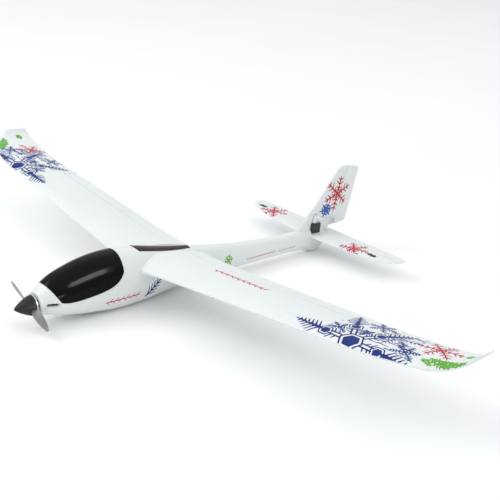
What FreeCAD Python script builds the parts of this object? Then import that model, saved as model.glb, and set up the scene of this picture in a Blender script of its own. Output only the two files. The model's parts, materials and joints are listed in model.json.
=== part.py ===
"""Electric glider of moulded foam, 780 mm span: one STEP file per piece, millimetres.

Everything is drawn about the wing datum: x = 0 on the centre plane, +X to the port tip,
+Y aft, +Z up, y = 0 and z = 0 where the leading edges would meet on the centre plane.
emit() then moves each piece so that the origin lies under the middle of the aircraft,
on the ground that the belly and the tail skid rest on.
"""
import FreeCAD
import Part
import math
import os

V = FreeCAD.Vector

# ---------------------------------------------------------------- driving dimensions
NOSE_Y = -142.4           # tip of the spinner
TAIL_Y = 380.0            # top rear corner of the rudder
GROUND_Z = -40.0          # belly flat and tail skid

DIHEDRAL = 0.092          # rise per mm of span
WING_TE_DROP = 1.0        # trailing edge below the leading edge
WING_THICKNESS = 0.105    # of the chord
WING_CAMBER = 0.030
BEND_S = 364.0            # where the tip starts to turn up
ROOT_S = 11.0             # inner end of each wing panel

AILERON_S = (120.0, 318.0)
AILERON_HINGE_Y = (73.0, 76.0)
AILERON_LIMIT = 25.0      # degrees either way
GROOVE = 0.6              # width and depth of the moulded line inboard of the ailerons
GAP = 0.5                 # foam to foam at every control surface

STAB_Z = -16.0
STAB_TE_Y = 341.0
ELEVATOR_HINGE_Y = 323.0
RUDDER_HINGE_FOOT = (331.0, -8.0)
RUDDER_HINGE_HEAD = (354.0, 71.0)
RUDDER_FOOT_Z = -8.0

MOTOR_Z = -16.0
SPINNER_R = 11.0
SPINNER_BASE_Y = -121.6
PROP_R = 38.0
BLADE_REST = 20.0         # how far the port blade rests below level, in degrees

BELL_R = 8.5              # outrunner motor
BELL_LENGTH = 10.0
SHAFT_R = 1.0

WALL = 4.0                # foam shell
CANOPY_WALL = 1.6
CANOPY_GAP = 0.35
BULKHEAD_T = 5.0          # behind the canopy, measured with the gap
MAGNET_R = 2.5
MAGNET_T = 1.2
MAGNET_Z = 15.0
TRAY_Z = -27.0            # underside of the equipment tray
TRAY_T = 2.0
BATTERY = (24.4, 50.0, 13.0)  # width, length, height
BATTERY_Y = -82.0         # its front end
SPAR_ROOT = V(2.0, 33.0, 4.6)
SPAR_LENGTH = 236.0
SPAR_WIDTH = 4.0
SPAR_T = 1.2
STAB_SPAR_LENGTH = 190.0

SERVO = (6.2, 16.0, 13.0)     # thickness, length, height of a micro servo
SERVO_X = 0.3             # from the middle of the fin to each tail servo
TAIL_SERVO_Y = 294.0      # front end of both tail servo cases
TAIL_SERVO_Z = -13.0      # their underside
RUDDER_OUTPUT = (4.0, -34.0, 8.0)    # across, aft of and along the rudder hinge
ELEVATOR_OUTPUT = (298.5, -4.2)      # y and z
ARM = 9.0                 # tail servo arms and horns, pivot to hole
WING_ARM = 11.0           # aileron servo arms and horns, pivot to hole
WIRE_R = 0.5              # pushrod wire

# y, half width, top z, z of greatest width, bottom z
FUSELAGE = [
    (-118.0, 12.6, -3.4, -16.0, -28.6),
    (-108.0, 17.2, 5.6, -15.0, -27.4),
    (-95.0, 20.8, 13.0, -13.0, -30.6),
    (-80.0, 23.2, 18.0, -11.5, -33.4),
    (-60.0, 25.2, 23.0, -10.0, -36.8),
    (-40.0, 26.0, 25.6, -9.0, -39.4),
    (-20.0, 26.0, 26.0, -9.0, -40.9),
    (0.0, 25.0, 24.0, -9.0, -40.9),
    (20.0, 23.0, 20.0, -9.5, -40.0),
    (45.0, 19.8, 14.8, -10.0, -37.6),
    (70.0, 16.8, 10.6, -11.0, -35.4),
    (95.0, 14.4, 7.2, -12.5, -34.2),
    (125.0, 12.4, 2.6, -14.5, -33.6),
    (160.0, 11.0, -2.0, -16.5, -33.4),
    (200.0, 10.0, -5.2, -18.5, -33.0),
    (240.0, 9.2, -7.0, -19.5, -33.0),
    (275.0, 8.4, -7.4, -20.0, -34.0),
    (290.0, 7.8, -7.4, -20.0, -37.0),
    (303.0, 6.8, -7.6, -20.5, -40.8),
    (313.0, 5.6, -8.0, -21.0, -40.4),
    (325.0, 3.4, -12.0, -24.0, -34.0),
]
CAVITY_Y = (-108.0, 275.0)

# y and z of the edge where the canopy meets the fuselage, seen from the side
CANOPY_FRONT_TOP = (-111.0, 7.5)
CANOPY_FRONT_FOOT = (-98.5, -11.0)
CANOPY_EDGE = [(-90.0, -12.4), (-74.0, -11.2), (-52.0, -7.8), (-36.0, -2.6)]
CANOPY_REAR_FOOT = (-24.8, 9.0)
CANOPY_REAR_TOP = (-24.0, 34.0)

COVER_Y = (3.0, 84.0)     # dark strip over the wing joint
COVER_HALF_W = (9.0, 4.2)
COVER_T = 1.2


# ---------------------------------------------------------------- small helpers
def emit(name, shape):
    """Move a piece to the kept frame and write it."""
    moved = shape.copy()
    moved.translate(V(0, -(NOSE_Y + TAIL_Y) / 2, -GROUND_Z))
    moved.exportStep("parts/%s.step" % name)


def mirrored(shape):
    """The starboard twin of a port piece."""
    return shape.mirror(V(0, 0, 0), V(1, 0, 0))


def box(x, y, z):
    """A box from three (low, high) pairs."""
    return Part.makeBox(x[1] - x[0], y[1] - y[0], z[1] - z[0], V(x[0], y[0], z[0]))


def rod(start, end, radius):
    direction = end - start
    return Part.makeCylinder(radius, direction.Length, start, direction)


def prism(points, direction):
    """A closed polygon swept along a straight line."""
    face = Part.Face(Part.makePolygon(points + [points[0]]))
    return face.extrude(direction)


def largest(shape):
    """The biggest solid of a result, for cuts that leave a crumb behind."""
    return max(shape.Solids, key=lambda solid: solid.Volume)


def fused(shapes):
    return shapes[0].multiFuse(shapes[1:]).removeSplitter()


def refine(rows, steps):
    """Extra rows on a smooth curve through the given ones, the same number in every gap."""
    ends = [[2 * a - b for a, b in zip(rows[0], rows[1])]]
    tail = [[2 * a - b for a, b in zip(rows[-1], rows[-2])]]
    padded = ends + [list(row) for row in rows] + tail
    result = []
    for k in range(1, len(padded) - 2):
        for step in range(steps):
            t = step / steps
            result.append([0.5 * (2 * b + (c - a) * t + (2 * a - 5 * b + 4 * c - d) * t ** 2
                                  + (3 * b - a - 3 * c + d) * t ** 3)
                           for a, b, c, d in zip(*padded[k - 1:k + 3])])
    return result + [list(rows[-1])]


def skin(wires):
    """A solid through closely spaced sections."""
    return Part.makeLoft(wires, True, True)


def superellipse(y, half_w, top, middle, bottom, power_top=2.1, power_bottom=2.5, count=20):
    """A closed smooth section across the fuselage."""
    points = []
    for i in range(count):
        a = 2 * math.pi * i / count
        c, s = math.cos(a), math.sin(a)
        power = power_top if s >= 0 else power_bottom
        height = (top - middle) if s >= 0 else (middle - bottom)
        x = half_w * math.copysign(abs(c) ** (2 / power), c)
        z = middle + height * math.copysign(abs(s) ** (2 / power), s)
        points.append(V(x, y, z))
    curve = Part.BSplineCurve()
    curve.interpolate(points, PeriodicFlag=True)
    return Part.Wire(curve.toShape())


def airfoil(place, chord, thickness, camber, blunt=0.35):
    """A wing section as one wire. place(c, t) gives the point c aft and t above the chord."""
    stations = [1.0, 0.9, 0.75, 0.55, 0.37, 0.22, 0.11, 0.04, 0.009]
    crest = 0.4

    def half(c):
        return 5 * thickness * (0.2969 * math.sqrt(c) - 0.126 * c - 0.3516 * c ** 2
                                + 0.2843 * c ** 3 - 0.1036 * c ** 4)

    def mean(c):
        if c < crest:
            return camber * (2 * crest * c - c ** 2) / crest ** 2
        return camber * (1 - 2 * crest + 2 * crest * c - c ** 2) / (1 - crest) ** 2

    upper = [place(c * chord, (mean(c) + half(c)) * chord + blunt * c) for c in stations]
    lower = [place(c * chord, (mean(c) - half(c)) * chord - blunt * c) for c in stations]
    curve = Part.BSplineCurve()
    curve.interpolate(upper + [place(0.0, 0.0)] + lower[::-1])
    closing = Part.LineSegment(lower[0], upper[0])
    return Part.Wire([curve.toShape(), closing.toShape()])


# ---------------------------------------------------------------- fuselage
def fuselage_solid(inset=0.0, span=None):
    """The outer body, or the same body drawn in by a wall."""
    wires = []
    for y, half_w, top, middle, bottom in FUSELAGE:
        if span and not span[0] <= y <= span[1]:
            continue
        wires.append(superellipse(y, half_w - inset, top - inset, middle, bottom + inset))
    return Part.makeLoft(wires, True, False)


def canopy_prism(grow=0.0):
    """What the canopy takes out of the pod: the edge line swept across the body."""
    half, high = 60.0, 60.0
    front = V(0, CANOPY_FRONT_TOP[0] - grow, CANOPY_FRONT_TOP[1])
    foot = V(0, CANOPY_FRONT_FOOT[0] - grow, CANOPY_FRONT_FOOT[1] - grow)
    rear = V(0, CANOPY_REAR_FOOT[0] + grow, CANOPY_REAR_FOOT[1])
    top = V(0, CANOPY_REAR_TOP[0] + grow, CANOPY_REAR_TOP[1])
    low = [V(0, y, z - grow) for y, z in CANOPY_EDGE]
    curve = Part.BSplineCurve()
    curve.interpolate([foot] + low + [rear])
    edges = [
        Part.LineSegment(front, foot).toShape(),
        curve.toShape(),
        Part.LineSegment(rear, top).toShape(),
        Part.LineSegment(top, V(0, top.y, high)).toShape(),
        Part.LineSegment(V(0, top.y, high), V(0, front.y - 8.0, high)).toShape(),
        Part.LineSegment(V(0, front.y - 8.0, high), V(0, front.y - 8.0, front.z + 4.0)).toShape(),
        Part.LineSegment(V(0, front.y - 8.0, front.z + 4.0), front).toShape(),
    ]
    face = Part.Face(Part.Wire(edges))
    face.translate(V(-half, 0, 0))
    return face.extrude(V(2 * half, 0, 0))


def cooling_slots():
    """The two louvres behind the nose ring, one on each side."""
    across, y, z = 40.0, -107.2, -12.6
    half_length, half_height = 4.6, 1.7
    slot = box((-across, across), (y - half_length, y + half_length), (z - half_height, z + half_height))
    ends = [rod(V(-across, y + end, z), V(across, y + end, z), half_height)
            for end in (-half_length, half_length)]
    return fused([slot] + ends)


def canopy(outer):
    shell = outer.common(canopy_prism())
    hollow = fuselage_solid(CANOPY_WALL, (-108.0, 20.0))
    block = box((-30, 30), (-106.0, CANOPY_REAR_TOP[0] - CANOPY_WALL), (-40, 60))
    return largest(shell.cut(hollow.common(block)))


# ---------------------------------------------------------------- wing
def wing_le(s):
    u = s / 350.0
    return 35.9 * u - 10.5 * u ** 2 + 21.2 * (max(0.0, s - 280.0) / 100.0) ** 2


def wing_te(s):
    u = s / 350.0
    return 94.2 + 6.0 * u - 5.2 * u ** 2 + 13.8 * (max(0.0, s - 280.0) / 100.0) ** 2


def wing_section(s, z, le, te, thickness, camber, tilt):
    """One section of the port wing, tilted about its chord by the local dihedral."""
    rake = WING_TE_DROP / (te - le)

    def place(c, t):
        return V(s - math.sin(tilt) * t, le + c, z - rake * c + math.cos(tilt) * t)

    return airfoil(place, te - le, thickness, camber)


def wing_solid():
    """Root fairing, plain panel and upturned tip, section by section."""
    lean = math.atan(DIHEDRAL)

    def plain(s):
        return (s, DIHEDRAL * s, wing_le(s), wing_te(s), WING_THICKNESS, WING_CAMBER, lean)

    # span, z, leading edge, trailing edge, thickness, camber, tilt: the fairing swells into the pod
    fairing = [
        (ROOT_S, 3.2, -6.0, 97.6, 0.175, WING_CAMBER, 0.0),
        (19.0, 3.5, -4.5, 96.4, 0.160, WING_CAMBER, 0.0),
        (28.0, 3.8, -1.2, 95.6, 0.142, WING_CAMBER, 0.02),
        (40.0, 4.5, 2.4, 95.2, 0.124, WING_CAMBER, 0.06),
        (54.0, DIHEDRAL * 54.0 + 0.2, 5.0, 95.2, 0.112, WING_CAMBER, 0.08),
    ]
    bend_z = DIHEDRAL * BEND_S
    tip = [
        (374.0, bend_z + 1.9, 49.6, 106.2, 0.085, 0.012, 0.34),
        (381.8, bend_z + 5.4, 57.6, 105.8, 0.080, 0.010, 0.62),
        (386.8, bend_z + 9.8, 65.6, 104.4, 0.075, 0.005, 0.84),
        (390.2, bend_z + 14.4, 73.0, 102.0, 0.062, 0.0, 0.94),
    ]
    rows = refine(fairing + [plain(70.0)], 3)
    rows += [plain(s) for s in range(85, 340, 15)]
    rows += refine([plain(s) for s in (342.0, 352.0, BEND_S)] + tip, 4)
    return skin([wing_section(*row) for row in rows])


def skin_z(solid, s, y, upper=True):
    """Height of a skin at a place in plan."""
    probe = Part.makeLine(V(s, y, -100.0), V(s, y, 120.0)).common(solid)
    return probe.BoundBox.ZMax if upper else probe.BoundBox.ZMin


class Hinge:
    """A straight hinge line with its own frame: along, aft and up."""

    def __init__(self, start, end):
        self.start = start
        self.length = (end - start).Length
        self.along = (end - start).normalize()
        side = V(0, 0, 1).cross(self.along).normalize()
        self.aft = side
        self.up = self.along.cross(side)

    def at(self, along, aft, up):
        return self.start + self.along * along + self.aft * aft + self.up * up

    def block(self, profile, low, high):
        """An (aft, up) polygon swept along the hinge from low to high."""
        points = [self.at(low, aft, up) for aft, up in profile]
        return prism(points, self.along * (high - low))

    def box(self, along, aft, up):
        profile = [(aft[0], up[0]), (aft[1], up[0]), (aft[1], up[1]), (aft[0], up[1])]
        return self.block(profile, along[0], along[1])

    def drum(self, along, aft, up, radius):
        """A cylinder parallel to the hinge."""
        return rod(self.at(along[0], aft, up), self.at(along[1], aft, up), radius)


def lever(hinge, along, aft, up, pivot_r, hole, tip_r):
    """A flat arm from a pivot to a hole, in a plane across the hinge; hole is (aft, up)."""
    low, high = along
    big = hinge.drum(along, aft, up, pivot_r)
    small = hinge.drum(along, aft + hole[0], up + hole[1], tip_r)
    size = math.hypot(hole[0], hole[1])
    side = (-hole[1] / size, hole[0] / size)
    profile = [
        (aft + side[0] * pivot_r, up + side[1] * pivot_r),
        (aft - side[0] * pivot_r, up - side[1] * pivot_r),
        (aft + hole[0] - side[0] * tip_r, up + hole[1] - side[1] * tip_r),
        (aft + hole[0] + side[0] * tip_r, up + hole[1] + side[1] * tip_r),
    ]
    web = hinge.block(profile, low, high)
    return fused([big, web, small])


# ---------------------------------------------------------------- ailerons
SERVO_ALONG = 30.0        # from the aileron's inner end
SERVO_AFT = -30.0         # output axis from the hinge line
AILERON_DROP = -6.5       # output axis below the hinge line


def aileron_hinge(wing):
    ends = []
    for s, y in zip(AILERON_S, AILERON_HINGE_Y):
        ends.append(V(s, y, skin_z(wing, s, y) - 0.15))
    return Hinge(ends[0], ends[1])


def aileron_pair(wing, hinge):
    """The wing without its aileron, and the aileron with its bevelled front."""
    bevel = math.tan(math.radians(AILERON_LIMIT + 8.0)) * 12.0
    bay = hinge.box((-GAP, hinge.length + GAP), (-GAP, 60.0), (-12.0, 8.0))
    profile = [(0.0, 8.0), (60.0, 8.0), (60.0, -12.0), (bevel, -12.0), (0.0, 0.0)]
    blade = wing.common(hinge.block(profile, 0.0, hinge.length))
    return largest(wing.cut(bay)), largest(blade)


def aileron_servo(hinge):
    """Servo case lying in the wing, its output towards the root."""
    thick, length, height = SERVO
    along = (SERVO_ALONG + 1.0, SERVO_ALONG + 1.0 + height)
    case = hinge.box(along, (SERVO_AFT - length + 4.5, SERVO_AFT + 4.5),
                     (AILERON_DROP - thick / 2, AILERON_DROP + thick / 2))
    boss = hinge.drum((SERVO_ALONG - 1.0, along[0]), SERVO_AFT, AILERON_DROP, 2.4)
    return fused([case, boss])


def aileron_arm(hinge):
    blade = lever(hinge, (SERVO_ALONG - 2.6, SERVO_ALONG - 1.2), SERVO_AFT, AILERON_DROP,
                  2.6, (0.0, -WING_ARM), 1.7)
    hole = hinge.drum((SERVO_ALONG - 3.0, SERVO_ALONG), SERVO_AFT, AILERON_DROP - WING_ARM,
                      WIRE_R + 0.06)
    return blade.cut(hole)


def aileron_horn(hinge, blade):
    """A plastic horn under the aileron, its hole straight below the hinge line."""
    low, high = SERVO_ALONG - 2.6, SERVO_ALONG - 1.2
    profile = [
        (4.6, -1.0), (15.0, -1.0), (14.0, -5.5), (1.6, -WING_ARM - 1.5),
        (-1.2, -WING_ARM - 1.5), (-1.7, -WING_ARM + 0.8), (3.9, -6.6),
    ]
    plate = hinge.block(profile, low, high)
    foot = hinge.box((low - 3.0, high + 3.0), (5.0, 14.0), (-5.6, 0.0))
    hole = hinge.drum((low - 1.0, high + 1.0), 0.0, -WING_ARM, WIRE_R + 0.06)
    return largest(plate.fuse(foot).cut(blade).cut(hole))


def pushrod(hinge, side, start, end):
    """A bent wire: a straight run beside the arms with a cranked end in each hole."""
    reach = side * 3.4
    offset = side * 1.6
    a = hinge.at(start[0], start[1], start[2])
    b = hinge.at(end[0], end[1], end[2])
    along = hinge.along
    run = rod(a + along * offset, b + along * offset, WIRE_R)
    crank_a = rod(a + along * (offset - reach), a + along * offset, WIRE_R)
    crank_b = rod(b + along * (offset - reach), b + along * offset, WIRE_R)
    knuckles = [Part.makeSphere(WIRE_R, a + along * offset), Part.makeSphere(WIRE_R, b + along * offset)]
    return fused([run, crank_a, crank_b] + knuckles)


# ---------------------------------------------------------------- tail
def stabiliser_solid():
    """Flat one-piece tailplane, swept on its leading edge and rounded at its tips."""
    plan = [
        (0.0, 290.0, STAB_TE_Y, 4.6),
        (30.0, 292.0, STAB_TE_Y, 4.5),
        (62.0, 295.6, STAB_TE_Y, 4.1),
        (92.0, 301.0, STAB_TE_Y, 3.6),
        (112.0, 307.0, STAB_TE_Y, 3.2),
        (122.0, 313.5, STAB_TE_Y - 0.2, 2.7),
        (127.0, 320.5, STAB_TE_Y - 0.9, 2.1),
        (129.4, 327.0, STAB_TE_Y - 2.6, 1.5),
    ]
    wires = []
    for x, le, te, thick in refine(plan, 3):
        def place(c, t, x=x, le=le):
            return V(x, le + c, STAB_Z + t)
        wires.append(airfoil(place, te - le, thick / (te - le), 0.0, 0.3))
    half = skin(wires)
    return fused([half, mirrored(half)])


def elevator_hinge(stab):
    z = skin_z(stab, 40.0, ELEVATOR_HINGE_Y) - 0.1
    return Hinge(V(-132.0, ELEVATOR_HINGE_Y, z), V(132.0, ELEVATOR_HINGE_Y, z))


def elevator_pair(stab, hinge):
    bay = hinge.box((0.0, hinge.length), (-GAP, 40.0), (-10.0, 6.0))
    profile = [(0.0, 6.0), (40.0, 6.0), (40.0, -8.0), (8.0 * math.tan(math.radians(30)), -8.0), (0.0, 0.0)]
    blade = stab.common(hinge.block(profile, 0.0, hinge.length))
    return largest(stab.cut(bay)), largest(blade)


def fin_solid():
    """Fin and rudder as one moulding before the hinge is cut."""
    plan = [
        (-12.0, 270.0, 366.0, 6.6),
        (-4.0, 274.0, 367.0, 6.4),
        (4.0, 280.5, 368.6, 6.2),
        (14.0, 290.0, 370.8, 6.0),
        (32.0, 307.5, 374.2, 5.4),
        (52.0, 323.5, 377.6, 4.8),
        (66.0, 335.0, 380.0, 4.3),
        (76.0, 343.5, 381.6, 4.0),
    ]
    wires = []
    for z, le, te, thick in refine(plan, 3):
        def place(c, t, z=z, le=le):
            return V(t, le + c, z)
        wires.append(airfoil(place, te - le, thick / (te - le), 0.0, 0.4))
    whole = skin(wires)
    top = prism([V(-20, 330.0, 66.0), V(-20, 341.5, 71.4), V(-20, 348.0, 72.6), V(-20, 366.0, 71.0),
                 V(-20, 377.0, 68.6), V(-20, 380.0, 65.0), V(-20, 400.0, 20.0), V(-20, 400.0, 100.0),
                 V(-20, 330.0, 100.0)], V(40, 0, 0))
    foot = box((-20, 20), (RUDDER_HINGE_FOOT[0] - 1.0, 400), (-30, RUDDER_FOOT_Z))
    return largest(whole.cut(fused([top, foot])))


class RudderFrame:
    """Across, aft and along for the rudder, which turns about a raked upright line."""

    def __init__(self):
        foot = V(0, RUDDER_HINGE_FOOT[0], RUDDER_HINGE_FOOT[1])
        head = V(0, RUDDER_HINGE_HEAD[0], RUDDER_HINGE_HEAD[1])
        self.foot = foot
        self.length = (head - foot).Length
        self.along = (head - foot).normalize()
        self.aft = V(0, self.along.z, -self.along.y)

    def at(self, x, aft, along):
        return self.foot + V(x, 0, 0) + self.aft * aft + self.along * along

    def block(self, profile, low, high):
        """An (x, aft) polygon swept along the hinge."""
        return prism([self.at(x, aft, low) for x, aft in profile], self.along * (high - low))

    def drum(self, x, aft, along, radius):
        return rod(self.at(x, aft, along[0]), self.at(x, aft, along[1]), radius)


def rudder_pair(fin, line):
    """The fixed fin and the rudder with its pointed front."""
    half = 20.0
    wedge = math.tan(math.radians(58.0)) * half
    bay = line.block([(-half, -GAP), (half, -GAP), (half, 80.0), (-half, 80.0)], -40.0, 140.0)
    profile = [(0.0, 0.0), (half, wedge / 2.6), (half, 80.0), (-half, 80.0), (-half, wedge / 2.6)]
    blade = fin.common(line.block(profile, -40.0, 140.0))
    return largest(fin.cut(bay)), largest(blade)


# ---------------------------------------------------------------- power unit
def turned(profile, y0=0.0):
    """A solid of revolution about the motor axis; profile is (y, r) pairs."""
    points = [V(0, y0 + y, MOTOR_Z + r) for y, r in profile]
    face = Part.Face(Part.makePolygon(points + [points[0]]))
    return face.revolve(V(0, 0, MOTOR_Z), V(0, 1, 0), 360)


def ring(r_in, r_out, low, high):
    outer = rod(V(0, low, MOTOR_Z), V(0, high, MOTOR_Z), r_out)
    return outer.cut(rod(V(0, low - 1, MOTOR_Z), V(0, high + 1, MOTOR_Z), r_in))


def spinner():
    """A blunt pointed cone, hollow, with a slot for each blade root."""
    count = 9
    depth = SPINNER_BASE_Y - NOSE_Y

    def outline():
        points = []
        for i in range(count + 1):
            u = i / count
            points.append(V(0, NOSE_Y + u * depth, MOTOR_Z + SPINNER_R * (1 - (1 - u) ** 1.3) ** 0.85))
        return points

    outer = outline()
    curve = Part.BSplineCurve()
    curve.interpolate(outer)
    base = V(0, SPINNER_BASE_Y, MOTOR_Z)
    edges = [curve.toShape(),
             Part.LineSegment(outer[-1], base).toShape(),
             Part.LineSegment(base, outer[0]).toShape()]
    body = Part.Face(Part.Wire(edges)).revolve(V(0, 0, MOTOR_Z), V(0, 1, 0), 360)
    hollow = turned([(SPINNER_BASE_Y, 0), (SPINNER_BASE_Y, SPINNER_R - 1.4),
                     (SPINNER_BASE_Y - 9.0, SPINNER_R - 5.4), (SPINNER_BASE_Y - 9.0, 0)])
    slots = box((-20, 20), (SPINNER_BASE_Y - 5.8, SPINNER_BASE_Y + 1), (MOTOR_Z - 4.4, MOTOR_Z + 4.4))
    screw_way = rod(V(0, NOSE_Y - 1, MOTOR_Z), V(0, SPINNER_BASE_Y, MOTOR_Z), 0.8)
    return largest(body.cut(fused([hollow, slots, screw_way])))


def propeller():
    """Two blades on a round hub: chord and pitch follow the radius."""
    hub_y = SPINNER_BASE_Y - 2.6
    blades = []
    # radius, chord, pitch angle, thickness
    plan = [(3.0, 5.0, 42.0, 2.2), (8.0, 7.0, 36.0, 1.7), (15.0, 10.4, 26.0, 1.35), (23.0, 10.2, 19.0, 1.1),
            (31.0, 8.0, 15.0, 0.9), (35.5, 5.6, 13.0, 0.75), (PROP_R, 2.2, 12.0, 0.5)]
    wires = []
    for r, chord, pitch, thick in refine(plan, 3):
        a = math.radians(pitch)

        def place(c, t, r=r, a=a, chord=chord):
            across = c - 0.42 * chord
            return V(r, hub_y + across * math.sin(a) - t * math.cos(a),
                     MOTOR_Z + across * math.cos(a) + t * math.sin(a))
        wires.append(airfoil(place, chord, thick / chord, 0.03, 0.12))
    blade = skin(wires)
    blades.append(blade)
    other = blade.copy()
    other.rotate(V(0, 0, MOTOR_Z), V(0, 1, 0), 180)
    blades.append(other)
    hub = rod(V(0, hub_y - 2.4, MOTOR_Z), V(0, hub_y + 2.4, MOTOR_Z), 4.2)
    bore = rod(V(0, hub_y - 10, MOTOR_Z), V(0, hub_y + 10, MOTOR_Z), 1.0)
    return fused(blades + [hub]).cut(bore)


# ---------------------------------------------------------------- the assembly
def build_power_unit(cavity):
    """Motor, mount, propeller and spinner, from the firewall forward."""
    front = SPINNER_BASE_Y
    for name, piece in (("spinner", spinner()), ("propeller", propeller())):
        piece.rotate(V(0, 0, MOTOR_Z), V(0, 1, 0), BLADE_REST)
        emit(name, piece)
    plate = ring(SHAFT_R, SPINNER_R - 0.2, front + 0.1, front + 1.3)
    emit("spinner_backplate", plate)
    shaft = rod(V(0, front - 8.6, MOTOR_Z), V(0, front + 26.0, MOTOR_Z), SHAFT_R)
    tapped = rod(V(0, front - 9.0, MOTOR_Z), V(0, front - 4.0, MOTOR_Z), 0.5)
    emit("motor_shaft", shaft.cut(tapped))
    screw = fused([rod(V(0, NOSE_Y + 1.8, MOTOR_Z), V(0, front - 4.1, MOTOR_Z), 0.5),
                   rod(V(0, NOSE_Y + 0.9, MOTOR_Z), V(0, NOSE_Y + 2.6, MOTOR_Z), 0.75)])
    emit("spinner_screw", screw)
    # a bell that turns round a fixed stator, its open end towards the firewall
    bell_y = front + 5.4
    bell = fused([ring(BELL_R - 0.9, BELL_R, bell_y, bell_y + BELL_LENGTH),
                  ring(SHAFT_R, BELL_R, bell_y, bell_y + 1.2)])
    vents = [rod(V(5.0 * math.cos(a), bell_y - 1, MOTOR_Z + 5.0 * math.sin(a)),
                 V(5.0 * math.cos(a), bell_y + 1.3, MOTOR_Z + 5.0 * math.sin(a)), 1.3)
             for a in [k * math.pi / 3 for k in range(6)]]
    emit("motor_bell", bell.cut(fused(vents)))
    stator = fused([ring(1.05, 6.9, bell_y + 1.8, bell_y + 9.6), ring(1.05, 3.4, bell_y + 9.0, bell_y + 13.4),
                    ring(1.05, 8.0, bell_y + 11.6, bell_y + 13.4)])
    wall_y = bell_y + 13.4
    plate = cavity.common(box((-30, 30), (wall_y, wall_y + 2.4), (-40, 20)))
    plate = plate.cut(rod(V(0, wall_y - 1, MOTOR_Z), V(0, wall_y + 4, MOTOR_Z), 2.6))
    screws = []
    for side in (-1, 1):
        at = V(side * 5.6, 0, MOTOR_Z)
        shank = rod(at + V(0, wall_y - 1.2, 0), at + V(0, wall_y + 2.4, 0), 0.8)
        head = rod(at + V(0, wall_y + 2.4, 0), at + V(0, wall_y + 3.8, 0), 1.5)
        screws.append(fused([shank, head]))
    holes = Part.makeCompound(screws)
    emit("motor_stator", largest(stator.cut(holes)))
    emit("motor_mount", largest(plate.cut(holes)))
    emit("motor_screws", holes)


def build_bay(cavity):
    """Tray, battery, strap and control board under the canopy."""
    tray = cavity.common(box((-30, 30), (-92.0, 30.0), (TRAY_Z, TRAY_Z + TRAY_T)))
    lightening = [box((-6, 6), (y, y + 8.0), (TRAY_Z - 1, TRAY_Z + 3)) for y in (-4.0, 14.0)]
    slot_y = (-62.0, -50.0)
    strap_slots = [box((side * 13.2 - 0.6, side * 13.2 + 0.6), (slot_y[0] - 0.5, slot_y[1] + 0.5),
                       (TRAY_Z - 1, TRAY_Z + 3)) for side in (-1, 1)]
    emit("equipment_tray", largest(tray.cut(fused(lightening + strap_slots))))
    half_w, length, height = BATTERY[0] / 2, BATTERY[1], BATTERY[2]
    battery = box((-half_w, half_w), (BATTERY_Y, BATTERY_Y + length),
                  (TRAY_Z + TRAY_T, TRAY_Z + TRAY_T + height))
    battery = battery.makeFillet(2.0, [e for e in battery.Edges if abs(e.BoundBox.YLength) > 40])
    emit("battery_pack", battery)
    t = 0.8
    outer = box((-13.6, 13.6), slot_y, (TRAY_Z - t, TRAY_Z + 15.0 + t))
    outer = outer.cut(box((-12.8, 12.8), (slot_y[0] - 1, slot_y[1] + 1), (TRAY_Z, TRAY_Z + 15.0)))
    emit("battery_strap", outer)
    board = box((-11.0, 11.0), (-24.0, 14.0), (TRAY_Z + 3.6, TRAY_Z + 5.0))
    feet = box((-8.0, 8.0), (-20.0, 10.0), (TRAY_Z + 2.0, TRAY_Z + 3.6))
    chips = [box((-6, 6), (-18.0, -8.0), (TRAY_Z + 5.0, TRAY_Z + 7.4)),
             box((-9, 9), (0.0, 12.0), (TRAY_Z + 5.0, TRAY_Z + 9.0))]
    emit("control_board", fused([board, feet] + chips))


def build_cover(outer):
    """The dark strip that follows the top of the body over the wing joint."""
    y0, y1 = COVER_Y
    lifted = outer.copy()
    lifted.translate(V(0, 0, COVER_T * 0.6))
    count = 8
    port = []
    for i in range(count + 1):
        u = i / count
        half = COVER_HALF_W[0] + (COVER_HALF_W[1] - COVER_HALF_W[0]) * (0.35 * u + 0.65 * u ** 2.2)
        port.append(V(half, y0 + 2.2 * (half / COVER_HALF_W[0]) + u * (y1 - y0 - 2.2), -20))
    starboard = [V(-p.x, p.y, p.z) for p in port[::-1]]
    curve_a = Part.BSplineCurve()
    curve_a.interpolate(port)
    curve_b = Part.BSplineCurve()
    curve_b.interpolate(starboard)
    front = Part.Arc(starboard[-1], V(0, y0, -20), port[0])
    rear = Part.LineSegment(port[-1], starboard[0])
    plan = Part.Face(Part.Wire([curve_a.toShape(), rear.toShape(), curve_b.toShape(), front.toShape()]))
    column = plan.extrude(V(0, 0, 80))
    sunk = outer.copy()
    sunk.translate(V(0, 0, -COVER_T * 0.4))
    keep = box((-20, 20), (y0 - 5, y1 + 5), (-4.0, 60))
    return largest(lifted.cut(sunk).common(column).common(keep))


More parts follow.
